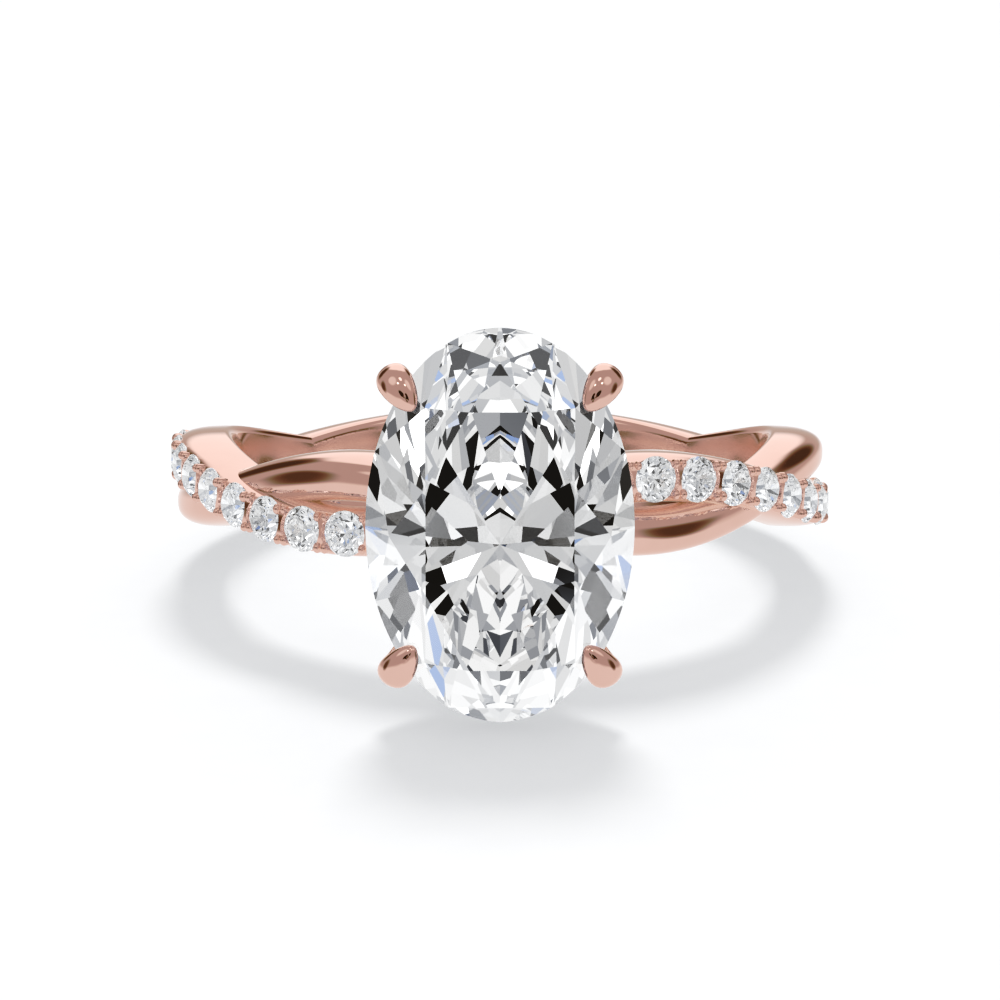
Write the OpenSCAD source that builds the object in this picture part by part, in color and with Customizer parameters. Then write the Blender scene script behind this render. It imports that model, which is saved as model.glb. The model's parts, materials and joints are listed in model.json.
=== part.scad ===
// Twisted shank ring: a strand set with small stones and a plain strand wind round
// each other into one band, which carries an oval brilliant in four claws.
// Ring frame: Z is the finger's axis, the oval stone faces -Y, and angles run from
// the front, positive towards +X. lay_down() then puts the ring as it rests on a table.

/* [Band] */
// Radius of the finger hole
bore_r = 8.65; // [8.6:0.05:9.2]
// From the finger hole to the outer face of a strand
strand_depth = 1.8; // [1.7:0.05:2]
// Width of one strand along the finger
strand_w = 1.5; // [1.5:0.05:1.6]
// How far a strand swings to each side of the band's middle
strand_sway = 0.8; // [0.7:0.05:0.85]
// How far a strand rises where it crosses over the other
cross_lift = 0.1; // [0.05:0.05:0.15]
// How far a strand dips where it passes under the other
cross_dip = 0.4; // [0.3:0.05:0.5]
// From the finger hole to the floor of the groove between the strands
groove_floor = 0.85; // [0.7:0.05:1]
// Squareness of the set strand's section, where 2 is an ellipse
set_square = 3.4; // [3:0.1:4]
// Squareness of the plain strand's section, where 2 is an ellipse
plain_square = 2.7; // [2.5:0.1:3]
// Rounding where the sides meet the finger hole
inner_round = 0.25; // [0.2:0.05:0.3]

/* [Twist] */
// Turns of the twist in one turn of the band
twist_turns = 2.5; // [2.5]
// Degrees by which the twist runs ahead at the sides
twist_lead = 44.7; // [40:0.1:50]
// Degrees by which it runs ahead between the front and the sides
twist_lead_2 = 3.2; // [0:0.1:5]

/* [Oval stone] */
// Length of the oval stone
stone_l = 10.9; // [10.5:0.1:11.2]
// Width of the oval stone
stone_w = 7.4; // [7.2:0.1:7.6]
// Height of its crown above the girdle
crown_h = 1.1; // [1:0.05:1.2]
// Thickness of its girdle
girdle_h = 0.28; // [0.25:0.01:0.32]
// Depth of its pavilion below the girdle
pavilion_h = 3.2; // [3:0.05:3.25]
// Width of the table as a share of the stone's width
table_across = 0.59; // [0.55:0.01:0.62]
// Length of the table as a share of the stone's length
table_along = 0.7; // [0.62:0.01:0.72]
// How far the table's middle lies towards the lower end
table_drop = 0.3; // [0:0.05:0.4]
// How far the culet lies towards the lower end
culet_drop = 0.6; // [0:0.05:0.6]
// Height of the girdle's middle above the band's outer face
stone_rise = 3.55; // [3.5:0.05:3.8]

/* [Head] */
// Thickness of a claw
claw_w = 0.84; // [0.75:0.01:0.9]
// Thickness of the oval rail that joins the claws
rail_w = 0.66; // [0.6:0.02:0.7]
// Clearance between a stone and its metal
stone_gap = 0.02; // [0.01:0.01:0.03]

/* [Small stones] */
// Diameter of a small stone
pave_d = 1.36; // [1.3:0.01:1.38]
// Small stones on each side of the head
pave_per_side = 10; // [6:1:10]
// Angle of the first small stone from the front
pave_start = 18.2; // [18:0.1:19]
// Angle from one small stone to the next
pave_pitch = 8; // [7.9:0.05:8.1]
// How far the small stones stand out of the strand
pave_proud = 0.08; // [0.06:0.01:0.12]

/* [Hidden] */
band_r = bore_r + strand_depth;
half_strand = strand_w / 2;
// Radius at which a strand's sides turn into the rounding at the finger hole
side_r = bore_r + inner_round;
// The band is built inwards past the finger hole, which then cuts it round
core_r = bore_r - inner_round;
band_steps = 144;
band_rows = 22;
// The order in which the strands cross changes between these angles
order_from = 90;
order_to = 115;
// Beyond these angles the set strand is as round as the plain one
round_from = 95;
round_to = 135;
girdle_r = band_r + stone_rise;
pave_crown = 0.17 * pave_d;
pave_girdle = 0.04 * pave_d;
pave_pavilion = 0.41 * pave_d;
pave_count = 2 * pave_per_side;
claw_sides = 10;
rail_sides = 8;
rail_steps = 48;
// Height and half sizes of the rail that joins the claws
rail_z = girdle_r - 2.2;
rail_half_w = 1.95;
rail_half_l = 3.05;
rose_gold = [0.85, 0.58, 0.48];
diamond = [0.93, 0.95, 0.97];

function pave_name(i) = str("pave_stone_", i < 10 ? "0" : "", i);

// Goes smoothly from 0 at a to 1 at b
function ease(a, b, t) = let (s = min(1, max(0, (t - a) / (b - a)))) s * s * (3 - 2 * s);

// The twist: height of the set strand's middle, and how much it lies over the plain strand,
// from -1 to 1. The plain strand has both the other way round.
function twist(t) = twist_turns * t + twist_lead * sin(t) + twist_lead_2 * sin(2 * t);
function strand_z(t) = strand_sway * sin(twist(t));
function set_over(t) = -cos(twist(t)) * (1 - 2 * ease(order_from, order_to, t));
function shift(over) = ((cross_lift + cross_dip) * over + (cross_lift - cross_dip) * over * over) / 2;

// Outer radius of a strand at height dz from its middle
function strand_r(dz, top_r, square) =
    let (s = min(1, abs(dz) / half_strand))
    side_r + (top_r - side_r) * pow(1 - pow(s, square), 1 / square);

// Outer radius of the band at angle t and height z
function outer_r(t, z) =
    let (
        mid = strand_z(t),
        set_r = band_r + shift(set_over(t)),
        plain_r = band_r + shift(-set_over(t)),
        square = set_square + (plain_square - set_square) * ease(round_from, round_to, abs(t)),
        groove = abs(z) < abs(mid) ? bore_r + groove_floor : 0
    )
    max(strand_r(z - mid, set_r, square), strand_r(z + mid, plain_r, plain_square), groove);

function ring_point(t, r, z) = [r * sin(t), -r * cos(t), z];

// Cross-section of the band at angle t, from the finger hole over the top and back
function band_section(t) =
    let (edge = abs(strand_z(t)) + half_strand, foot = edge - 2 * inner_round)
    [
        ring_point(t, core_r, foot),
        for (j = [0:band_rows])
            let (s = 1 - 2 * j / band_rows, z = edge * (s + sin(90 * s)) / 2)
            ring_point(t, outer_r(t, z), z),
        ring_point(t, core_r, -foot)
    ];
band_sections = [for (i = [0:band_steps - 1]) band_section((i + 0.5) * 360 / band_steps - 180)];

// Joins a row of rings of points, each counter-clockwise seen from the row's end
module loft(rings, closed = false) {
    n = len(rings);
    m = len(rings[0]);
    sides = [
        for (i = [0:closed ? n - 1 : n - 2])
            for (j = [0:m - 1])
                let (
                    a = i * m + j,
                    b = i * m + (j + 1) % m,
                    c = ((i + 1) % n) * m + (j + 1) % m,
                    d = ((i + 1) % n) * m + j
                )
                each [[a, c, b], [a, d, c]]
    ];
    ends = closed ? [] : [[for (j = [0:m - 1]) j], [for (j = [0:m - 1]) n * m - 1 - j]];
    polyhedron([for (ring = rings) each ring], concat(sides, ends), convexity = 8);
}

// Brilliant cut, with its table towards +Z, its length along Y and its girdle at z = 0.
// Eight bezel facets stand at 22.5 degrees and on, every 45 degrees, over eight pavilion mains.
function rim(w, l, a) = [w / 2 * cos(a), l / 2 * sin(a)];
function rim_run(w, l, a) = [-w / 2 * sin(a), l / 2 * cos(a)];
function meet(p, d, q, e) = p + d * cross(q - p, e) / cross(d, e);
function plane_z(a, b, c, p) =
    let (n = cross(b - a, c - a))
    a.z - (n.x * (p.x - a.x) + n.y * (p.y - a.y)) / n.z;

// Corner between facets k and k + 1, which rise from the rim to the points tops,
// at the share f of the way up from height z0 to height z1
function facet_corner(w, l, k, tops, f, z0, z1) =
    let (
        a = 22.5 + 45 * k,
        g = rim(w, l, a),
        h = rim(w, l, a + 45),
        p = g + (tops[k] - g) * f,
        q = h + (tops[(k + 1) % 8] - h) * f,
        c = meet(p, rim_run(w, l, a), q, rim_run(w, l, a + 45))
    )
    [c.x, c.y, z0 + (z1 - z0) * f];

// Rim points at height z, m to each 45 degrees, which follow the facets from the corners
function rim_points(w, l, m, corners, z) = [
    for (k = [0:7])
        for (j = [0:m - 1])
            let (
                a = 22.5 + 45 * k,
                start = j < m / 2 ? a : a + 22.5,
                g = rim(w, l, start),
                h = rim(w, l, start + 22.5),
                p = rim(w, l, a + 45 * j / m)
            )
            [p.x, p.y, plane_z(corners[k], [g.x, g.y, z], [h.x, h.y, z], p)]
];

// Share of the way up to the table at which the star facets start
star_at = 0.62;
// Share of the way down to the culet at which the lower girdle facets end
lower_at = 0.78;

function brilliant_points(w, l, crown, girdle, pavilion, across, along, m, t_drop = 0, c_drop = 0) =
    let (
        top = girdle / 2,
        table = [for (k = [0:7]) let (p = rim(w * across, l * along, 22.5 + 45 * k)) [p.x, p.y - t_drop]],
        culet = [for (k = [0:7]) [0, -c_drop]],
        stars = [for (k = [0:7]) facet_corner(w, l, k, table, star_at, top, top + crown)],
        lowers = [for (k = [0:7]) facet_corner(w, l, k, culet, lower_at, -top, -top - pavilion)]
    )
    concat(
        [for (p = table) [p.x, p.y, top + crown]],
        stars,
        rim_points(w, l, m, stars, top),
        rim_points(w, l, m, lowers, -top),
        lowers,
        [[0, -c_drop, -top - pavilion]]
    );

module brilliant(points, m) {
    rim_n = 8 * m;
    top = 16;
    bottom = top + rim_n;
    lowers = bottom + rim_n;
    culet = lowers + 8;
    half = m / 2;
    faces = concat(
        [[for (k = [0:7]) k]],
        [for (k = [0:7]) [k, 8 + k, (k + 1) % 8]],
        [for (k = [0:7]) [k, 8 + (k + 7) % 8, top + k * m, 8 + k]],
        [for (k = [0:7]) [8 + k, for (j = [0:half]) top + k * m + j]],
        [for (k = [0:7]) [8 + k, for (j = [half:m]) top + (k * m + j) % rim_n]],
        [for (i = [0:rim_n - 1]) [bottom + i, bottom + (i + 1) % rim_n, top + (i + 1) % rim_n, top + i]],
        [for (k = [0:7]) [lowers + k, for (j = [half:-1:0]) bottom + k * m + j]],
        [for (k = [0:7]) [lowers + k, for (j = [m:-1:half]) bottom + (k * m + j) % rim_n]],
        [for (k = [0:7]) [culet, lowers + k, bottom + k * m, lowers + (k + 7) % 8]]
    );
    polyhedron(points, [for (f = faces) [for (i = [len(f) - 1:-1:0]) f[i]]]);
}

oval_rim = 4;
function oval_points(grow) = brilliant_points(
    stone_w + 2 * grow, stone_l + 2 * grow, crown_h + grow, girdle_h, pavilion_h + grow,
    table_across, table_along, oval_rim, table_drop, culet_drop
);

// The ring rests on the oval stone's lower end and the lowest edge of the band's back
oval_tips = [for (p = oval_points(0)) [p.x, -girdle_r - p.z, p.y]];
tip_z = min([for (p = oval_tips) p.z]);
tip_y = max([for (p = oval_tips) if (p.z < tip_z + 0.001) p.y]);
tilt = min([for (ring = band_sections) for (p = ring) if (p.y > 0) atan2(p.z - tip_z, p.y - tip_y)]);
function rest_y(p) = p.y * cos(tilt) + p.z * sin(tilt);
function rest_z(p) = p.z * cos(tilt) - p.y * sin(tilt);
rest_low = min([for (p = oval_tips) rest_z(p)]);
rest_front = min([for (p = oval_tips) rest_y(p)]);
rest_back = max([for (ring = band_sections) for (p = ring) rest_y(p)]);

module lay_down() {
    translate([0, -(rest_front + rest_back) / 2, -rest_low]) rotate([-tilt, 0, 0]) children();
}

// Puts what is drawn round +Z onto the ring at angle t, at radius r and height z, facing out
module face_out(t, r, z) {
    rotate([0, 0, t]) translate([0, -r, z]) rotate([90, 0, 0]) children();
}

// One claw in slices along the stone, from inside the band to the tip over the crown. Columns: middle
// across and along the stone, height above the girdle, half length towards the stone's middle, half width
claw_rows = [
    [0.70, 0.30, -4.60, 0.50, 0.50],
    [1.45, 2.15, -2.20, 0.48, 0.48],
    [2.45, 3.48, -0.75, 0.50, 0.50],
    [2.84, 3.95, -0.05, 0.57, 0.54],
    [2.83, 3.93, 0.25, 0.63, 0.58],
    [2.74, 3.81, 0.50, 0.71, 0.56],
    [2.66, 3.70, 0.68, 0.67, 0.48],
    [2.60, 3.62, 0.80, 0.50, 0.33],
    [2.57, 3.58, 0.86, 0.24, 0.14]
];
// Share by which a slice is wider at its outer end
claw_egg = 0.2;
module claw(sx, sy) {
    inward = [-sx * stone_w, -sy * stone_l] / norm([stone_w, stone_l]);
    beside = [-inward.y, inward.x];
    loft([
        for (row = claw_rows)
            [
                for (j = [0:claw_sides - 1])
                    let (
                        a = 360 * j / claw_sides,
                        p = [sx * row[0], sy * row[1]]
                            + inward * claw_w * row[3] * cos(a)
                            + beside * claw_w * row[4] * sin(a) * (1 - claw_egg * cos(a))
                    )
                    [p.x, p.y, girdle_r + row[2]]
            ]
    ]);
}

// Oval rail that joins the claws below the stone
module gallery_rail() {
    rings = [
        for (i = [0:rail_steps - 1])
            let (
                a = 360 * i / rail_steps,
                run = [-rail_half_w * sin(a), rail_half_l * cos(a)],
                out = [run.y, -run.x] / norm(run)
            )
            [
                for (j = [0:rail_sides - 1])
                    let (b = 360 * j / rail_sides, c = rail_w / 2 * cos(b), s = rail_w / 2 * sin(b))
                    [rail_half_w * cos(a) + c * out.x, rail_half_l * sin(a) + c * out.y, rail_z - s]
            ]
    ];
    loft(rings, true);
}

module head() {
    rotate([90, 0, 0]) {
        for (sx = [-1, 1]) for (sy = [-1, 1]) claw(sx, sy);
        gallery_rail();
    }
}

// Angle of small stone i, counted from the left round to the right
function pave_angle(i) =
    let (k = i <= pave_per_side ? pave_per_side - i : i - pave_per_side - 1)
    (i <= pave_per_side ? -1 : 1) * (pave_start + pave_pitch * k);
function pave_girdle_r(t) = band_r + shift(set_over(t)) + pave_proud - pave_crown - pave_girdle / 2;

module at_pave(i) {
    t = pave_angle(i);
    face_out(t, pave_girdle_r(t), strand_z(t)) children();
}

// Round seat drilled for a small stone
module pave_seat() {
    r = pave_d / 2 + stone_gap;
    low = -pave_girdle / 2 - stone_gap;
    rotate_extrude($fn = 48)
        polygon([[0, low - pave_pavilion], [r, low], [r, 2 * pave_crown + pave_d], [0, 2 * pave_crown + pave_d]]);
}

module shank_and_head() {
    color(rose_gold) lay_down() difference() {
        union() {
            loft(band_sections, true);
            head();
        }
        cylinder(r = bore_r, h = 4 * strand_w, center = true, $fn = 128);
        for (i = [1:pave_count]) at_pave(i) pave_seat();
        face_out(0, girdle_r, 0) brilliant(oval_points(stone_gap), oval_rim);
    }
}

module centre_stone() {
    color(diamond) lay_down() face_out(0, girdle_r, 0) brilliant(oval_points(0), oval_rim);
}

pave_rim = 2;
module pave_stone(i) {
    points = brilliant_points(
        pave_d, pave_d, pave_crown, pave_girdle, pave_pavilion, table_across, table_across, pave_rim
    );
    color(diamond) lay_down() at_pave(i) brilliant(points, pave_rim);
}

shank_and_head();
centre_stone();
for (i = [1:pave_count]) pave_stone(i);
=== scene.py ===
import json
import math

import bpy
import numpy as np
from mathutils import Matrix, Vector


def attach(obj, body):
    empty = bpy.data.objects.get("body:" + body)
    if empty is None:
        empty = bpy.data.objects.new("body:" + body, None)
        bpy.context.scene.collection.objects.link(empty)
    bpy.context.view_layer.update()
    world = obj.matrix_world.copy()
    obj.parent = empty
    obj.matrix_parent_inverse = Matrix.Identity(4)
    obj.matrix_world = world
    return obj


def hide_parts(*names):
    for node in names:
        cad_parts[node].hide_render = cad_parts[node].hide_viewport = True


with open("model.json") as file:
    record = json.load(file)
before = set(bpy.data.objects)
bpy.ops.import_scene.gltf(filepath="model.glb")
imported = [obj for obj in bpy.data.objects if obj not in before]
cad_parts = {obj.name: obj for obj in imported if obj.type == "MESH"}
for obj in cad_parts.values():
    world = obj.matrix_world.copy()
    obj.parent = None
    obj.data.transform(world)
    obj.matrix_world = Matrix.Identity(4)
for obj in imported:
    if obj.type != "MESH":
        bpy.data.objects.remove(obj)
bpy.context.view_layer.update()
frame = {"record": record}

MM = 0.001

# Sizes of the ring in millimetres and degrees, as the CAD source has them
mount = frame["record"]["mounts"][0]
BORE_R = mount["dims"]["r_mm"]
STRAND_DEPTH = 1.8
HALF_STRAND = 0.75
STRAND_SWAY = 0.8
CROSS_LIFT = 0.1
CROSS_DIP = 0.4
GROOVE_FLOOR = 0.85
SET_SQUARE = 3.4
PLAIN_SQUARE = 2.7
INNER_ROUND = 0.25
TWIST_TURNS = 2.5
TWIST_LEAD = 44.7
TWIST_LEAD_2 = 3.2
ORDER_FROM, ORDER_TO = 90, 115
ROUND_FROM, ROUND_TO = 95, 135
BAND_R = BORE_R + STRAND_DEPTH
SIDE_R = BORE_R + INNER_ROUND
CORE_R = BORE_R - INNER_ROUND
FLOOR_R = BORE_R + GROOVE_FLOOR
FLOOR_HALF_MIN = 0.1

STONE_L, STONE_W = 10.9, 7.4
CROWN_H, GIRDLE_H, PAVILION_H = 1.1, 0.28, 3.2
TABLE_ACROSS, TABLE_ALONG = 0.59, 0.7
TABLE_DROP, CULET_DROP = 0.3, 0.6
GIRDLE_R = BAND_R + 3.55
STAR_AT, LOWER_AT = 0.62, 0.78
STONE_GAP = 0.02

CLAW_W = 0.84
CLAW_EGG = 0.2
RAIL_W = 0.66
RAIL_R = GIRDLE_R - 2.2
RAIL_HALF_W, RAIL_HALF_L = 1.95, 3.05

PAVE_D = 1.36
PAVE_PER_SIDE = 10
PAVE_START, PAVE_PITCH = 18.2, 8
PAVE_PROUD = 0.08
PAVE_CROWN, PAVE_GIRDLE, PAVE_PAVILION = 0.17 * PAVE_D, 0.04 * PAVE_D, 0.41 * PAVE_D

# The ring's own frame, in which Z is the finger's axis and the oval stone faces -Y
ring_z = Vector(mount["axis"]).normalized()
ring_x = Vector((1, 0, 0))
ring_y = ring_z.cross(ring_x)
REST = Matrix.Translation(Vector(mount["pos_m"])) @ Matrix((ring_x, ring_y, ring_z)).transposed().to_4x4()
REST = REST @ Matrix.Scale(MM, 4)

# Turns what is made round +Z to face -Y, where the oval stone is
TO_FRONT = Matrix.Rotation(math.radians(90), 4, "X")


def ease(a, b, t):
    """Goes smoothly from 0 at a to 1 at b."""
    s = np.clip((t - a) / (b - a), 0, 1)
    return s * s * (3 - 2 * s)


def twist(t):
    """How far the strands have turned round each other at angle t, in radians."""
    lead = TWIST_LEAD * np.sin(np.radians(t))
    lead_2 = TWIST_LEAD_2 * np.sin(np.radians(2 * t))
    return np.radians(TWIST_TURNS * t + lead + lead_2)


def strand_z(t):
    """Height of the set strand's middle. The plain strand has it the other way round."""
    return STRAND_SWAY * np.sin(twist(t))


def set_over(t):
    """How much the set strand lies over the plain one, from -1 to 1."""
    return -np.cos(twist(t)) * (1 - 2 * ease(ORDER_FROM, ORDER_TO, t))


def shift(over):
    """How far a strand that lies over the other one by this much is lifted, or dips if it lies under."""
    return ((CROSS_LIFT + CROSS_DIP) * over + (CROSS_LIFT - CROSS_DIP) * over * over) / 2


def ring_point(t, r, z):
    """Point at angle t, radius r and height z in the ring's frame."""
    a = math.radians(t)
    return (r * math.sin(a), -r * math.cos(a), z)


def face_out(t, r, z):
    """Puts what is made round +Z onto the ring at angle t, radius r and height z, facing out."""
    return Matrix.Rotation(math.radians(t), 4, "Z") @ Matrix.Translation((0, -r, z)) @ TO_FRONT


def round_angles(sides):
    """Angles once round in this many steps, in radians."""
    return [2 * math.pi * j / sides for j in range(sides)]


# Mesh helpers


def new_object(name, points, faces, place=Matrix.Identity(4)):
    """Mesh from points in the ring's frame, in millimetres, laid down as the ring rests."""
    mesh = bpy.data.meshes.new(name)
    mesh.from_pydata([tuple(p) for p in points], [], [list(f) for f in faces])
    mesh.transform(REST @ place)
    mesh.validate()
    obj = bpy.data.objects.new(name, mesh)
    bpy.context.scene.collection.objects.link(obj)
    return obj


def loft(name, rings, closed, place=Matrix.Identity(4)):
    """Joins a row of rings of points, each counter-clockwise seen from the row's end."""
    n, m = len(rings), len(rings[0])
    faces = []
    for i in range(n if closed else n - 1):
        k = (i + 1) % n
        for j in range(m):
            faces.append((i * m + j, k * m + j, k * m + (j + 1) % m, i * m + (j + 1) % m)[::-1])
    if not closed:
        faces.append(tuple(range(m))[::-1])
        faces.append(tuple((n - 1) * m + j for j in range(m)))
    return new_object(name, [p for ring in rings for p in ring], faces, place)


def combine(target, tools, operation):
    """One exact union or difference of the target with all the tools, which are used up."""
    group = bpy.data.collections.new("tools")
    for tool in tools:
        group.objects.link(tool)
    change = target.modifiers.new(operation.lower(), "BOOLEAN")
    change.operation = operation
    change.operand_type = "COLLECTION"
    change.collection = group
    change.solver = "MANIFOLD"
    bake_modifiers(target)
    for tool in tools:
        bpy.data.objects.remove(tool)
    bpy.data.collections.remove(group)


def bake_modifiers(obj):
    """Puts the mesh that the object's modifiers make in place of its own."""
    depsgraph = bpy.context.evaluated_depsgraph_get()
    mesh = bpy.data.meshes.new_from_object(obj.evaluated_get(depsgraph))
    obj.modifiers.clear()
    old = obj.data
    obj.data = mesh
    bpy.data.meshes.remove(old)


def smooth_by_angle(obj, degrees):
    """Smooth shading but at sharp edges, in which wide faces keep their own direction."""
    obj.data.shade_smooth()
    obj.data.set_sharp_from_angle(angle=math.radians(degrees))
    weigh = obj.modifiers.new("weigh", "WEIGHTED_NORMAL")
    weigh.mode = "FACE_AREA_WITH_ANGLE"
    weigh.keep_sharp = True
    bake_modifiers(obj)


# Shank

# Steps once round the band, over a strand's outside and round each of its two inner edges
BAND_STEPS = 480
STRAND_ROWS = 40
ROUND_ROWS = 5


def strand_section(t, side):
    """Cross-section of the set strand (side 1) or the plain one (side -1) at angle t."""
    mid = side * float(strand_z(t))
    top = BAND_R + float(shift(side * set_over(t)))
    square = PLAIN_SQUARE
    if side > 0:
        square = SET_SQUARE + (PLAIN_SQUARE - SET_SQUARE) * float(ease(ROUND_FROM, ROUND_TO, abs(t)))
    points = []
    for j in range(STRAND_ROWS + 1):
        s = math.sin(math.radians(90 - 180 * j / STRAND_ROWS))
        rise = max(0.0, 1 - abs(s) ** square) ** (1 / square)
        points.append((SIDE_R + (top - SIDE_R) * rise, mid + HALF_STRAND * s))
    low_round = []
    for j in range(1, ROUND_ROWS + 1):
        a = math.radians(90 * j / ROUND_ROWS)
        down, out = INNER_ROUND * math.sin(a), INNER_ROUND * math.cos(a)
        low_round.append((SIDE_R - down, HALF_STRAND - INNER_ROUND + out))
    points += [(r, mid - z) for r, z in low_round] + [(CORE_R, mid - HALF_STRAND + INNER_ROUND)]
    points += [(CORE_R, mid + HALF_STRAND - INNER_ROUND)] + [(r, mid + z) for r, z in reversed(low_round)]
    return [ring_point(t, r, z) for r, z in points]


def floor_section(t):
    """Cross-section of the low floor that joins the strands in the groove between them."""
    half = max(FLOOR_HALF_MIN, abs(float(strand_z(t))))
    corners = [(FLOOR_R, half), (FLOOR_R, -half), (CORE_R, -half), (CORE_R, half)]
    return [ring_point(t, r, z) for r, z in corners]


# At the back each strand runs on into the other one. Its end lies some degrees inside that one and is smaller
TUCK = 1.0
TUCK_SHARE = 0.85


def band_angles():
    return [(i + 0.5) * 360 / BAND_STEPS - 180 for i in range(BAND_STEPS)]


def tucked_end(t, side):
    section = np.array(strand_section(t, side))
    middle = section.mean(axis=0)
    return [tuple(middle + (p - middle) * TUCK_SHARE) for p in section]


def make_strand(name, side):
    rings = [strand_section(t, side) for t in [-180.0] + band_angles() + [180.0]]
    rings = [tucked_end(-180 - TUCK, side)] + rings + [tucked_end(180 + TUCK, side)]
    return loft(name, rings, False)


def make_band():
    """The set strand, and the pieces that are joined to it."""
    floor = loft("groove_floor", [floor_section(t) for t in band_angles()], True)
    return make_strand("set_strand", 1), [make_strand("plain_strand", -1), floor]


# Head

# One claw in slices. Columns: middle across and along the stone, height above the girdle, all in millimetres,
# half length towards the stone's middle and half width, both as shares of the claw's thickness
CLAW_ROWS = [
    (0.70, 0.30, -4.60, 0.50, 0.50),
    (1.45, 2.15, -2.20, 0.48, 0.48),
    (2.45, 3.48, -0.75, 0.50, 0.50),
    (2.84, 3.95, -0.05, 0.57, 0.54),
    (2.83, 3.93, 0.25, 0.63, 0.58),
    (2.74, 3.81, 0.50, 0.71, 0.56),
    (2.66, 3.70, 0.68, 0.67, 0.48),
    (2.60, 3.62, 0.80, 0.50, 0.33),
    (2.57, 3.58, 0.86, 0.24, 0.14),
]
CLAW_TIP = (2.56, 3.565, 0.875, 0.02, 0.012)
CLAW_SIDES = 28
CLAW_SLICES = 6


def spline(rows, steps):
    """Catmull-Rom curve through the rows, with this many steps from each to the next."""
    rows = [np.array(r, float) for r in rows]
    rows = [2 * rows[0] - rows[1]] + rows + [2 * rows[-1] - rows[-2]]
    out = []
    for i in range(1, len(rows) - 2):
        a, b, c, d = rows[i - 1 : i + 3]
        for j in range(steps):
            s = j / steps
            curve = 2 * b + (c - a) * s + (2 * a - 5 * b + 4 * c - d) * s**2
            out.append(0.5 * (curve + (3 * b - 3 * c + d - a) * s**3))
    return out + [rows[-2]]


def make_claw(sx, sy):
    """Egg-shaped claw at the corner of the oval stone with these signs across and along it."""
    inward = -np.array([sx * STONE_W, sy * STONE_L])
    inward /= np.linalg.norm(inward)
    beside = np.array([-inward[1], inward[0]])
    rings = []
    for x, y, z, half_l, half_w in spline(CLAW_ROWS + [CLAW_TIP], CLAW_SLICES):
        ring = []
        for a in round_angles(CLAW_SIDES):
            p = np.array([sx * x, sy * y]) + inward * CLAW_W * half_l * math.cos(a)
            p = p + beside * CLAW_W * half_w * math.sin(a) * (1 - CLAW_EGG * math.cos(a))
            ring.append((p[0], p[1], GIRDLE_R + z))
        rings.append(ring)
    return loft(f"claw_{sx}_{sy}", rings, False, TO_FRONT)


RAIL_STEPS, RAIL_SIDES = 96, 16


def make_rail():
    """Round wire in an oval under the stone, which joins the claws."""
    rings = []
    for a in round_angles(RAIL_STEPS):
        middle = np.array([RAIL_HALF_W * math.cos(a), RAIL_HALF_L * math.sin(a)])
        out = np.array([RAIL_HALF_L * math.cos(a), RAIL_HALF_W * math.sin(a)])
        out /= np.linalg.norm(out)
        ring = []
        for b in round_angles(RAIL_SIDES):
            p = middle + RAIL_W / 2 * math.cos(b) * out
            ring.append((p[0], p[1], RAIL_R - RAIL_W / 2 * math.sin(b)))
        rings.append(ring)
    return loft("rail", rings, True, TO_FRONT)


# Stones

# Main facets once round a brilliant, the degrees from one to the next, and the first one's edge
MAINS = 8
MAIN_STEP = 45
FIRST_EDGE = 22.5


def rim(w, l, a):
    """Point of the oval of width w and length l at its parameter a, in degrees."""
    return np.array([w / 2 * math.cos(math.radians(a)), l / 2 * math.sin(math.radians(a))])


def rim_run(w, l, a):
    """Direction in which the oval runs on at its parameter a."""
    return np.array([-w / 2 * math.sin(math.radians(a)), l / 2 * math.cos(math.radians(a))])


def cross2(p, q):
    return p[0] * q[1] - p[1] * q[0]


def facet_corner(w, l, k, tops, f, z0, z1):
    """Corner between facets k and k + 1, at the share f of the way from height z0 to z1."""
    a = FIRST_EDGE + MAIN_STEP * k
    g, h = rim(w, l, a), rim(w, l, a + MAIN_STEP)
    p = g + (tops[k] - g) * f
    q = h + (tops[(k + 1) % MAINS] - h) * f
    d, e = rim_run(w, l, a), rim_run(w, l, a + MAIN_STEP)
    c = p + d * cross2(q - p, e) / cross2(d, e)
    return np.array([c[0], c[1], z0 + (z1 - z0) * f])


def plane_z(a, b, c, p):
    """Height at p of the plane through a, b and c."""
    n = np.cross(b - a, c - a)
    return a[2] - (n[0] * (p[0] - a[0]) + n[1] * (p[1] - a[1])) / n[2]


def rim_points(w, l, m, corners, z):
    """Rim points near height z, m to each main facet, which follow the facets from the corners."""
    out = []
    for k in range(MAINS):
        a = FIRST_EDGE + MAIN_STEP * k
        for j in range(m):
            start = a if j < m / 2 else a + MAIN_STEP / 2
            g = np.append(rim(w, l, start), z)
            h = np.append(rim(w, l, start + MAIN_STEP / 2), z)
            p = rim(w, l, a + MAIN_STEP * j / m)
            out.append(np.array([p[0], p[1], plane_z(corners[k], g, h, p)]))
    return out


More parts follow.
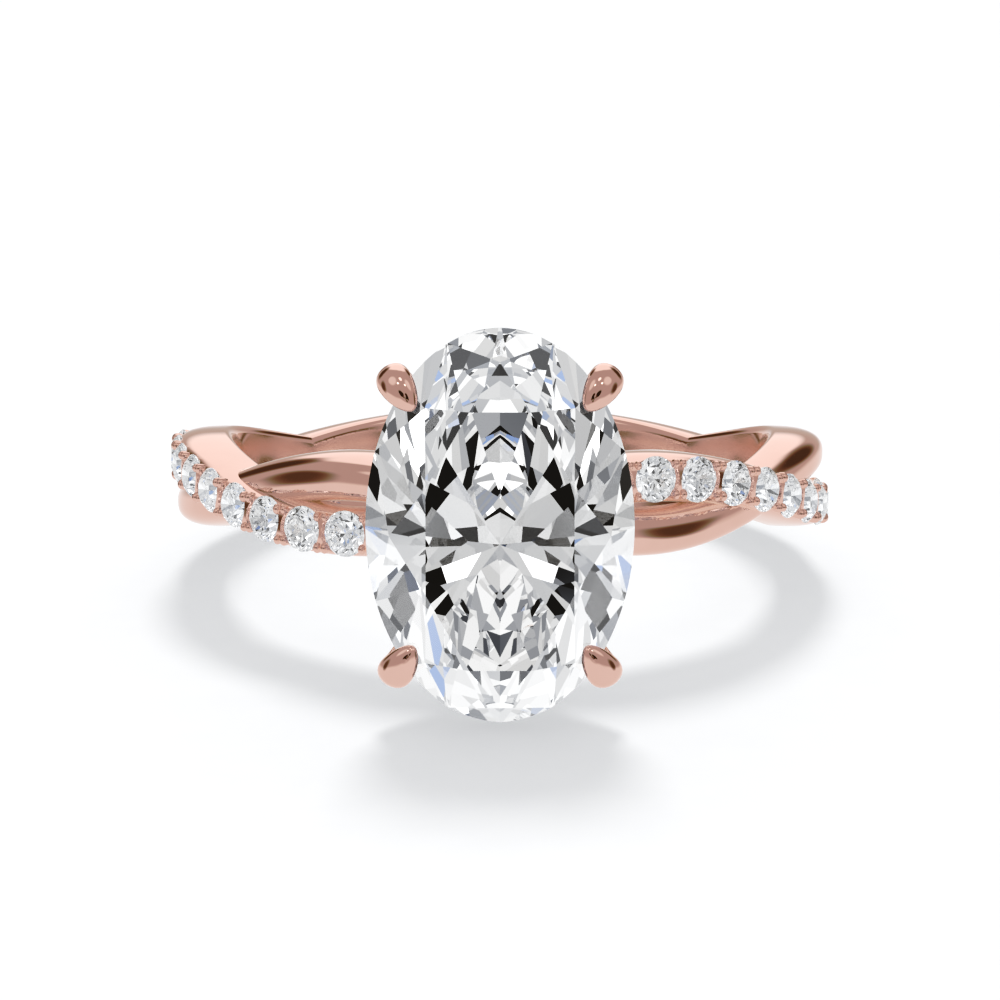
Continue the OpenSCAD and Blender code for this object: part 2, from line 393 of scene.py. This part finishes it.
def make_brilliant(name, place, w, l, crown, girdle, pavilion, across, along, m, t_drop=0, c_drop=0):
    """Brilliant cut, with its table towards +Z, its length along Y and its girdle at z = 0.

    across and along are the table's shares of width and length, m the points of the girdle to each main
    facet, and t_drop and c_drop how far table and culet lie below the middle.
    """
    ks = range(MAINS)
    before = [(k - 1) % MAINS for k in ks]
    top = girdle / 2
    table = [rim(w * across, l * along, FIRST_EDGE + MAIN_STEP * k) - (0, t_drop) for k in ks]
    culet = [np.array([0, -c_drop])] * MAINS
    stars = [facet_corner(w, l, k, table, STAR_AT, top, top + crown) for k in ks]
    lowers = [facet_corner(w, l, k, culet, LOWER_AT, -top, -top - pavilion) for k in ks]
    points = [np.append(p, top + crown) for p in table] + stars
    points += rim_points(w, l, m, stars, top) + rim_points(w, l, m, lowers, -top)
    points += lowers + [np.array([0, -c_drop, -top - pavilion])]
    # Where each row of points starts: star corners, upper and lower rim, lower corners, culet
    rim_n, half = MAINS * m, m // 2
    star = MAINS
    up = star + MAINS
    down = up + rim_n
    low = down + rim_n
    tip = low + MAINS
    faces = [list(ks)]
    faces += [[k, star + k, (k + 1) % MAINS] for k in ks]
    faces += [[k, star + before[k], up + k * m, star + k] for k in ks]
    faces += [[star + k] + [up + k * m + j for j in range(half + 1)] for k in ks]
    faces += [[star + k] + [up + (k * m + j) % rim_n for j in range(half, m + 1)] for k in ks]
    faces += [[down + i, down + (i + 1) % rim_n, up + (i + 1) % rim_n, up + i] for i in range(rim_n)]
    faces += [[low + k] + [down + k * m + j for j in range(half, -1, -1)] for k in ks]
    faces += [[low + k] + [down + (k * m + j) % rim_n for j in range(m, half - 1, -1)] for k in ks]
    faces += [[tip, low + k, down + k * m, low + before[k]] for k in ks]
    return new_object(name, points, faces, place)


OVAL_RIM = 12
PAVE_RIM = 6


def make_oval(name, grow):
    """The oval stone, larger by this much on all sides."""
    return make_brilliant(
        name, face_out(0, GIRDLE_R, 0), STONE_W + 2 * grow, STONE_L + 2 * grow, CROWN_H + grow, GIRDLE_H,
        PAVILION_H + grow, TABLE_ACROSS, TABLE_ALONG, OVAL_RIM, TABLE_DROP, CULET_DROP,
    )


def pave_angle(i):
    """Angle of small stone i, counted from 1 on the left round to the right."""
    k = PAVE_PER_SIDE - i if i <= PAVE_PER_SIDE else i - PAVE_PER_SIDE - 1
    return (-1 if i <= PAVE_PER_SIDE else 1) * (PAVE_START + PAVE_PITCH * k)


def pave_place(t):
    """Where the small stone at angle t sits."""
    r = BAND_R + float(shift(set_over(t))) + PAVE_PROUD - PAVE_CROWN - PAVE_GIRDLE / 2
    return face_out(t, r, float(strand_z(t)))


def make_pave_stone(i):
    return make_brilliant(
        f"small_brilliant_{i:02d}", pave_place(pave_angle(i)), PAVE_D, PAVE_D, PAVE_CROWN, PAVE_GIRDLE,
        PAVE_PAVILION, TABLE_ACROSS, TABLE_ACROSS, PAVE_RIM,
    )


SEAT_SIDES = 48
SEAT_TIP_R = 0.01


def make_seat(i):
    """Round seat drilled for a small stone, open to the outside."""
    r = PAVE_D / 2 + STONE_GAP
    low = -PAVE_GIRDLE / 2 - STONE_GAP
    profile = [(SEAT_TIP_R, low - PAVE_PAVILION), (r, low), (r, 2 * PAVE_CROWN + PAVE_D)]
    rings = [[(x * math.cos(a), x * math.sin(a), z) for a in round_angles(SEAT_SIDES)] for x, z in profile]
    return loft(f"seat_{i:02d}", rings, False, pave_place(pave_angle(i)))


# Beads that hold the small stones, in pairs between two stones on both edges of the strand: their distance
# from the strand's middle and from the pair's, radius, share by which it varies and how fast, how much longer
# they are than wide, how far they reach into the strand in radii, height over its face, share at the poles
BEAD_ACROSS = 0.455
BEAD_APART = 0.13
BEAD_R = 0.108
BEAD_VARIES = 0.12
BEAD_BEAT = 5
BEAD_STRETCH = 1.4
BEAD_ROOT = 2.5
BEAD_RISE = 0.02
BEAD_POLE = 0.02
BEAD_RINGS, BEAD_SIDES = 10, 16


def strand_drop(dz):
    """How far the set strand's face lies below its top at dz from its middle."""
    share = (abs(dz) / HALF_STRAND) ** SET_SQUARE
    return (STRAND_DEPTH - INNER_ROUND) * (1 - (1 - share) ** (1 / SET_SQUARE))


def make_bead(name, t, dx, dz, bead_r):
    """Bead at angle t, dx round the ring from there and dz from the strand's middle."""
    r = BAND_R + float(shift(set_over(t))) - strand_drop(dz) + BEAD_RISE
    place = face_out(t, r, float(strand_z(t)) + dz) @ Matrix.Translation((dx, 0, 0))
    rings = []
    for i in range(BEAD_RINGS + 1):
        a = math.radians(-90 + 180 * i / BEAD_RINGS)
        c = max(BEAD_POLE, math.cos(a)) * bead_r
        z = bead_r * math.sin(a) * (BEAD_STRETCH if a > 0 else BEAD_ROOT)
        rings.append([(c * math.cos(b), BEAD_STRETCH * c * math.sin(b), z) for b in round_angles(BEAD_SIDES)])
    return loft(name, rings, False, place)


def make_beads():
    beads = []
    for side in (-1, 1):
        for k in range(PAVE_PER_SIDE + 1):
            t = side * (PAVE_START + PAVE_PITCH * (k - 0.5))
            for dz in (-BEAD_ACROSS, BEAD_ACROSS):
                for end in (-1, 1):
                    n = len(beads)
                    bead_r = BEAD_R * (1 + BEAD_VARIES * math.sin(BEAD_BEAT * n))
                    beads.append(make_bead(f"bead_{n:03d}", t, end * BEAD_APART, dz, bead_r))
    return beads


# Materials

# Sockets of Blender's Mix node for numbers and for colours
MIX_A, MIX_B, MIX_OUT = 2, 3, 0
MIX_COLOUR_A, MIX_COLOUR_B, MIX_COLOUR_OUT = 6, 7, 2


def new_material(name):
    material = bpy.data.materials.new(name)
    material.use_nodes = True
    tree = material.node_tree
    return material, tree, tree.nodes["Principled BSDF"]


def add_node(tree, kind, **values):
    """New node, with values for its sockets by their names and for its settings."""
    node = tree.nodes.new(kind)
    for key, value in values.items():
        if key in node.inputs:
            node.inputs[key].default_value = value
        else:
            setattr(node, key.lower().replace(" ", "_"), value)
    return node


def mottle(tree, vector, scale, detail, dark, light, low=0.0, high=1.0):
    """Noise, and a colour that goes with it from the dark tone at low to the light tone at high."""
    noise = add_node(tree, "ShaderNodeTexNoise", Scale=scale, Detail=detail)
    tone = add_node(tree, "ShaderNodeValToRGB")
    stops = tone.color_ramp.elements
    stops[0].position, stops[1].position = low, high
    stops[0].color, stops[1].color = dark, light
    tree.links.new(vector, noise.inputs["Vector"])
    tree.links.new(noise.outputs["Fac"], tone.inputs["Fac"])
    return noise.outputs["Fac"], tone.outputs["Color"]


def map_range(tree, value, low, high, to_low=0.0, to_high=1.0):
    limits = {"From Min": low, "From Max": high, "To Min": to_low, "To Max": to_high}
    node = add_node(tree, "ShaderNodeMapRange", **limits)
    tree.links.new(value, node.inputs["Value"])
    return node


def past_depth(tree, depth):
    """1 for a ray that has been reflected or refracted at least this many times, or else 0."""
    path = add_node(tree, "ShaderNodeLightPath")
    past = add_node(tree, "ShaderNodeMath", operation="GREATER_THAN")
    past.inputs[1].default_value = depth - 0.5
    tree.links.new(path.outputs["Ray Depth"], past.inputs[0])
    return past.outputs[0]


# Tones of the gold where the camera sees it; a paler tone painted on where it mirrors itself, a painted
# reflection that makes the gold's reflections of itself lighter; and its tint at a glancing angle
GOLD_DARK, GOLD_LIGHT = (0.755, 0.528, 0.467, 1), (0.778, 0.546, 0.485, 1)
GOLD_PAINTED_REFLECTION = (1.0, 0.97, 0.945, 1)
GOLD_EDGE = (0.98, 0.91, 0.88, 1)
# Roughness between the polishing lines, on them and where the gold mirrors itself, and how much longer than
# wide the lines are
POLISH_FINE, POLISH_COARSE = 0.03, 0.085
POLISH_AGAIN = 0.25
POLISH_STRETCH = (1, 1, 14)
# Scales of the haze, the polishing lines and the waves, and the waves' height in metres
HAZE_SCALE = 900.0
LINE_SCALE = 2600.0
WAVE_SCALE = 380.0
WAVE_HEIGHT = 0.0000018


def rose_gold():
    """Hand polished rose gold: a faint haze, fine polishing lines and a slightly wavy surface.

    What it mirrors in itself is paler and softer, as in the photograph.
    """
    material, tree, shader = new_material("polished_rose_gold")
    link = tree.links.new
    place = add_node(tree, "ShaderNodeTexCoord").outputs["Object"]
    again = past_depth(tree, 1)
    _, tone = mottle(tree, place, HAZE_SCALE, 3.0, GOLD_DARK, GOLD_LIGHT, 0.3, 0.7)
    # Painted reflection: rays that the gold has mirrored at least once get a paler colour than the gold,
    # which lightens its reflections of itself
    painted_reflection_tone = add_node(tree, "ShaderNodeMix", data_type="RGBA")
    painted_reflection_tone.inputs[MIX_COLOUR_B].default_value = GOLD_PAINTED_REFLECTION
    link(again, painted_reflection_tone.inputs[0])
    link(tone, painted_reflection_tone.inputs[MIX_COLOUR_A])
    link(painted_reflection_tone.outputs[MIX_COLOUR_OUT], shader.inputs["Base Color"])
    stretch = add_node(tree, "ShaderNodeVectorMath", operation="MULTIPLY")
    stretch.inputs[1].default_value = POLISH_STRETCH
    lines = add_node(tree, "ShaderNodeTexNoise", Scale=LINE_SCALE, Detail=4.0)
    link(place, stretch.inputs[0])
    link(stretch.outputs[0], lines.inputs["Vector"])
    polish = map_range(tree, lines.outputs["Fac"], 0.3, 0.7, POLISH_FINE, POLISH_COARSE)
    softer = add_node(tree, "ShaderNodeMix", data_type="FLOAT")
    softer.inputs[MIX_B].default_value = POLISH_AGAIN
    link(again, softer.inputs[0])
    link(polish.outputs["Result"], softer.inputs[MIX_A])
    link(softer.outputs[MIX_OUT], shader.inputs["Roughness"])
    waves = add_node(tree, "ShaderNodeTexNoise", Scale=WAVE_SCALE, Detail=1.0)
    bump = add_node(tree, "ShaderNodeBump", Strength=1.0, Distance=WAVE_HEIGHT)
    link(place, waves.inputs["Vector"])
    link(waves.outputs["Fac"], bump.inputs["Height"])
    link(bump.outputs["Normal"], shader.inputs["Normal"])
    shader.inputs["Metallic"].default_value = 1.0
    shader.inputs["Specular Tint"].default_value = GOLD_EDGE
    return material


# Reflections and refractions after which light leaves the oval and the small stones
OVAL_DEPTH, SMALL_DEPTH = 5, 7
DIAMOND_IOR = 2.42
DIAMOND_DARK, DIAMOND_LIGHT = (0.93, 0.955, 0.985, 1), (1.0, 1.0, 1.0, 1)
DIAMOND_SCALE = 350.0


def diamond(name, depth):
    """Clear diamond. Light that is still inside after a few reflections goes straight out."""
    material, tree, shader = new_material(name)
    link = tree.links.new
    place = add_node(tree, "ShaderNodeTexCoord").outputs["Object"]
    _, tone = mottle(tree, place, DIAMOND_SCALE, 2.0, DIAMOND_DARK, DIAMOND_LIGHT)
    link(tone, shader.inputs["Base Color"])
    shader.inputs["Roughness"].default_value = 0.0
    shader.inputs["IOR"].default_value = DIAMOND_IOR
    shader.inputs["Transmission Weight"].default_value = 1.0
    straight = add_node(tree, "ShaderNodeBsdfRefraction", IOR=1.0, Roughness=0.0)
    either = add_node(tree, "ShaderNodeMixShader")
    link(past_depth(tree, depth), either.inputs[0])
    link(shader.outputs[0], either.inputs[1])
    link(straight.outputs[0], either.inputs[2])
    link(either.outputs[0], tree.nodes["Material Output"].inputs["Surface"])
    return material


# The paper's tones, and the scale of its grain and its height in metres
PAPER_DARK, PAPER_LIGHT = (0.885, 0.887, 0.893, 1), (0.912, 0.912, 0.914, 1)
PAPER_SCALE = 700.0
PAPER_GRAIN = 0.00001


def white_floor():
    """White paper with a faint grain."""
    material, tree, shader = new_material("white_paper")
    link = tree.links.new
    place = add_node(tree, "ShaderNodeTexCoord").outputs["Object"]
    grain, tone = mottle(tree, place, PAPER_SCALE, 5.0, PAPER_DARK, PAPER_LIGHT)
    bump = add_node(tree, "ShaderNodeBump", Strength=0.3, Distance=PAPER_GRAIN)
    link(grain, bump.inputs["Height"])
    link(tone, shader.inputs["Base Color"])
    link(bump.outputs["Normal"], shader.inputs["Normal"])
    shader.inputs["Roughness"].default_value = 0.9
    shader.inputs["Specular IOR Level"].default_value = 0.0
    return material


# Assembly

# Steps round the cylinder that cuts the bore and half its length, and the degrees from which an edge is sharp
BORE_SIDES = 2 * BAND_STEPS
BORE_CUT_HALF = 3
SHARP_ANGLE = 32


def make_bore_cut():
    angles = [360 * j / BORE_SIDES for j in range(BORE_SIDES)]
    rings = [[ring_point(t, BORE_R, z) for t in angles] for z in (-BORE_CUT_HALF, BORE_CUT_HALF)]
    return loft("bore_cut", rings, False)


def make_metal():
    """Joins band, claws and rail, cuts the bore and the stones' seats, and sets the beads."""
    metal, parts = make_band()
    parts += [make_claw(sx, sy) for sx in (-1, 1) for sy in (-1, 1)]
    parts.append(make_rail())
    combine(metal, parts, "UNION")
    bore = make_bore_cut()
    seats = [make_seat(i) for i in range(1, 2 * PAVE_PER_SIDE + 1)]
    combine(metal, [bore, make_oval("oval_seat", STONE_GAP)] + seats, "DIFFERENCE")
    combine(metal, make_beads(), "UNION")
    metal.name = "twisted_shank"
    smooth_by_angle(metal, SHARP_ANGLE)
    metal.data.materials.clear()
    metal.data.materials.append(rose_gold())
    metal.visible_transmission = False
    metal.visible_diffuse = False
    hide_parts("shank_and_head")
    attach(metal, "root")


def make_stones():
    oval = make_oval("oval_brilliant", 0)
    oval.data.materials.append(diamond("oval_diamond", OVAL_DEPTH))
    oval.visible_diffuse = False
    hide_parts("centre_stone")
    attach(oval, "root")
    small = diamond("small_diamond", SMALL_DEPTH)
    for i in range(1, 2 * PAVE_PER_SIDE + 1):
        stone = make_pave_stone(i)
        stone.data.materials.append(small)
        stone.visible_diffuse = False
        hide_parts(f"pave_stone_{i:02d}")
        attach(stone, "root")


# Studio

# Lights that only the floor shows: name, azimuth, elevation and size in degrees, strength
LAMPS = [("key", 180, 51, 16, 1.12), ("dome", 180, 65, 100, 1.8)]
# The camera's height in degrees, its distance, lens and sensor in millimetres, its shift as a share of the
# picture, and its range in metres
CAMERA_ELEVATION = 15.28
CAMERA_DISTANCE = 91
CAMERA_LENS = 100.9
CAMERA_SENSOR = 36
CAMERA_SHIFT = -0.025
CAMERA_NEAR, CAMERA_FAR = 0.005, 10
# Half the floor's width, and how far it lies under the ring so that they don't touch, in metres
FLOOR_HALF = 2.0
FLOOR_DROP = 0.00001

# Brightness of a tent, and its panels: name, azimuth, elevation, inner and outer edge in degrees, brightness
METAL_TENT = 0.62
METAL_PANELS = [
    ("paper", 0, -90, 78, 88, 0.95),
    ("back window, low", 180, 22, 14, 20, 1.25),
    ("back window, high", 180, 50, 20, 30, 1.25),
    ("left gap", -86, 2, 6, 23, 0.2),
    ("right gap", 74, 2, 6, 23, 0.2),
    ("left rear gap", -140, 20, 9, 22, 0.17),
    ("right rear gap", 140, 20, 9, 22, 0.17),
    ("left wall", -45, 42, 10, 18, 0.95),
    ("right wall", 45, 42, 10, 18, 0.95),
    ("camera side, left", -11, 14, 7, 9, 0.1),
    ("camera side, right", 11, 14, 7, 9, 0.1),
    ("left lamp", -17, 40, 2.5, 4, 3.0),
    ("right lamp", 17, 40, 2.5, 4, 3.0),
    ("top lamp", 0, 58, 4, 7, 1.8),
    ("camera", 0, 3, 4, 7, 0.2),
]
STONE_TENT = 0.62
STONE_PANELS = [
    ("back window, low", 180, 12, 18, 26, 1.3),
    ("back window, high", 180, 48, 20, 30, 1.3),
    ("left gap", -72, 24, 13, 19, 0.03),
    ("right gap", 75, 22, 15, 21, 0.02),
    ("left rear gap", -138, 20, 17, 25, 0.03),
    ("right rear gap", 141, 18, 16, 24, 0.03),
    ("left wall", -45, 42, 10, 18, 0.95),
    ("right wall", 47, 40, 9, 17, 1.0),
    ("camera side", 1, 13, 13, 15, 0.02),
    ("left lamp", -16, 40, 3, 5, 3.0),
    ("right lamp", 19, 38, 3, 5, 3.0),
    ("top lamp", 0, 58, 5, 8, 2.2),
    ("paper", 0, -90, 88, 90, 0.94),
    ("shade behind", 180, -35, 20, 26, 0.45),
    ("shade in front", 0, -60, 20, 26, 0.55),
    ("shade on the left", -60, -55, 10, 14, 0.1),
    ("shade on the right", 62, -53, 10, 14, 0.1),
    ("left rear shade", -125, -35, 9, 13, 0.15),
    ("right rear shade", 122, -37, 9, 13, 0.15),
]
# Scale of the cloth's patches, and the shares of brightness of the darkest and the lightest
CELL_SCALE = 5.0
CELL_DARK, CELL_LIGHT = 0.76, 1.25
# Small patches of blue sky in the stones' tent, whose last column is how much of the blue they show
SKY = [
    ("left sky", -100, 55, 7, 12, 1),
    ("right sky", 105, 50, 7, 12, 1),
    ("low sky", -28, -18, 5, 9, 1),
    ("rear sky", 165, 5, 5, 9, 1),
]
SKY_COLOUR = (0.36, 0.47, 0.74, 1)
# Hues of the dark parts of the studio in the metal and in the stones, the brightness from which it is white,
# and the light on the paper
WARM = (1, 0.8, 0.5)
COOL = (0.76, 0.84, 1)
WHITE_FROM = 0.7
FLOOR_TENT = (0.345, 0.352, 0.362, 1)


def make_camera():
    data = bpy.data.cameras.new("camera")
    camera = bpy.data.objects.new("camera", data)
    bpy.context.scene.collection.objects.link(camera)
    target = Vector(mount["pos_m"])
    e = math.radians(CAMERA_ELEVATION)
    back = Vector((0, -math.cos(e), math.sin(e)))
    camera.location = target + back * CAMERA_DISTANCE * MM
    camera.rotation_mode = "QUATERNION"
    camera.rotation_quaternion = (-back).to_track_quat("-Z", "Y")
    data.sensor_width = CAMERA_SENSOR
    data.lens = CAMERA_LENS
    data.shift_y = CAMERA_SHIFT
    data.clip_start = CAMERA_NEAR
    data.clip_end = CAMERA_FAR
    bpy.context.scene.camera = camera


def make_floor():
    mesh = bpy.data.meshes.new("floor")
    corners = [(x * FLOOR_HALF, y * FLOOR_HALF, 0) for x, y in ((-1, -1), (1, -1), (1, 1), (-1, 1))]
    mesh.from_pydata(corners, [], [(0, 1, 2, 3)])
    floor = bpy.data.objects.new("floor", mesh)
    floor.location.z = -FLOOR_DROP
    bpy.context.scene.collection.objects.link(floor)
    mesh.materials.append(white_floor())
    floor.visible_transmission = False
    floor.visible_glossy = False


def direction_of(azimuth, elevation):
    """Direction to what stands at this azimuth, counted from the camera's side, and elevation."""
    a, e = math.radians(azimuth), math.radians(elevation)
    return (math.sin(a) * math.cos(e), -math.cos(a) * math.cos(e), math.sin(e))


def make_lamp(name, azimuth, elevation, size, strength):
    """Soft light from behind and above, which the metal and the stones don't mirror."""
    data = bpy.data.lights.new(name, "SUN")
    data.angle = math.radians(size)
    data.energy = strength
    light = bpy.data.objects.new(name, data)
    bpy.context.scene.collection.objects.link(light)
    light.rotation_mode = "QUATERNION"
    light.rotation_quaternion = (-Vector(direction_of(azimuth, elevation))).to_track_quat("-Z", "Y")
    light.visible_glossy = False
    light.visible_transmission = False


def add_panels(tree, direction, base, panels):
    """Brightness of a tent with soft round panels laid over it in their order."""
    link = tree.links.new
    light = None
    for name, azimuth, elevation, inner, outer, value in panels:
        dot = add_node(tree, "ShaderNodeVectorMath", operation="DOT_PRODUCT")
        dot.label = name
        dot.inputs[1].default_value = direction_of(azimuth, elevation)
        link(direction, dot.inputs[0])
        edge, core = math.cos(math.radians(outer)), math.cos(math.radians(inner))
        reach = map_range(tree, dot.outputs["Value"], edge, core)
        reach.interpolation_type = "SMOOTHSTEP"
        mix = add_node(tree, "ShaderNodeMix", data_type="FLOAT")
        mix.inputs[MIX_B].default_value = value
        link(reach.outputs["Result"], mix.inputs[0])
        if light is None:
            mix.inputs[MIX_A].default_value = base
        else:
            link(light, mix.inputs[MIX_A])
        light = mix.outputs[MIX_OUT]
    return light


def add_cells(tree, direction, light):
    """The tent's cloth in patches, some a little darker and some a little lighter."""
    link = tree.links.new
    patches = add_node(tree, "ShaderNodeTexVoronoi", Scale=CELL_SCALE)
    parts = add_node(tree, "ShaderNodeSeparateColor")
    scale = add_node(tree, "ShaderNodeMath", operation="MULTIPLY")
    link(direction, patches.inputs["Vector"])
    link(patches.outputs["Color"], parts.inputs[0])
    share = map_range(tree, parts.outputs[0], 0.0, 1.0, CELL_DARK, CELL_LIGHT)
    link(share.outputs["Result"], scale.inputs[0])
    link(light, scale.inputs[1])
    return scale.outputs[0]


def tint(tree, light, dark_tone):
    """Colour of light of this brightness, whose hue goes from the dark tone to white."""
    hue = add_node(tree, "ShaderNodeValToRGB")
    hue.color_ramp.elements[0].color = (*dark_tone, 1)
    hue.color_ramp.elements[1].position = WHITE_FROM
    hue.color_ramp.elements[1].color = (1, 1, 1, 1)
    scale = add_node(tree, "ShaderNodeVectorMath", operation="SCALE")
    tree.links.new(light, hue.inputs["Fac"])
    tree.links.new(hue.outputs["Color"], scale.inputs[0])
    tree.links.new(light, scale.inputs["Scale"])
    return scale.outputs[0]


def choose(tree, factor, first, second):
    """The first colour where the factor is 0 and the second where it is 1."""
    mix = add_node(tree, "ShaderNodeMix", data_type="RGBA")
    tree.links.new(factor, mix.inputs[0])
    tree.links.new(first, mix.inputs[MIX_COLOUR_A])
    tree.links.new(second, mix.inputs[MIX_COLOUR_B])
    return mix.outputs[MIX_COLOUR_OUT]


def plain_colour(tree, value):
    node = add_node(tree, "ShaderNodeRGB")
    node.outputs[0].default_value = value
    return node.outputs[0]


def make_world():
    """Three light tents: one that the metal mirrors, one that the stones gather, one that lights the floor.

    In the tent of the stones there are patches of blue sky as well.
    """
    world = bpy.data.worlds.new("studio")
    bpy.context.scene.world = world
    world.use_nodes = True
    world.cycles.sampling_method = "NONE"
    tree = world.node_tree
    background = tree.nodes["Background"]
    place = add_node(tree, "ShaderNodeTexCoord").outputs["Generated"]
    path = add_node(tree, "ShaderNodeLightPath")
    mirrored = tint(tree, add_panels(tree, place, METAL_TENT, METAL_PANELS), WARM)
    gathered = add_cells(tree, place, add_panels(tree, place, STONE_TENT, STONE_PANELS))
    sky = add_panels(tree, place, 0, SKY)
    gathered = choose(tree, sky, tint(tree, gathered, COOL), plain_colour(tree, SKY_COLOUR))
    colour = choose(tree, path.outputs["Is Transmission Ray"], mirrored, gathered)
    colour = choose(tree, path.outputs["Is Diffuse Ray"], colour, plain_colour(tree, FLOOR_TENT))
    tree.links.new(colour, background.inputs["Color"])
    background.inputs["Strength"].default_value = 1.0


# Grade of the picture, which deepens its dark tones: the curve for all channels together, and pairs of
# brightness before and after
ALL_CHANNELS = 3
GRADE = [(0, 0), (0.1, 0.03), (0.2, 0.13), (0.33, 0.25), (0.5, 0.47), (0.75, 0.75), (1, 1)]


def set_render():
    scene = bpy.context.scene
    scene.view_settings.view_transform = "Standard"
    scene.view_settings.look = "None"
    scene.view_settings.use_curve_mapping = True
    grade = scene.view_settings.curve_mapping
    curve = grade.curves[ALL_CHANNELS]
    curve.points[-1].location = GRADE[-1]
    for before, after in GRADE[1:-1]:
        curve.points.new(before, after)
    grade.update()
    cycles = scene.cycles
    cycles.max_bounces = 32
    cycles.diffuse_bounces = 3
    cycles.glossy_bounces = 12
    cycles.transmission_bounces = 28
    cycles.transparent_max_bounces = 8
    cycles.caustics_reflective = False
    cycles.caustics_refractive = False
    cycles.blur_glossy = 0.0
    cycles.sample_clamp_indirect = 6.0
    cycles.use_denoising = True


make_camera()
make_floor()
make_world()
for lamp in LAMPS:
    make_lamp(*lamp)
make_metal()
make_stones()
set_render()
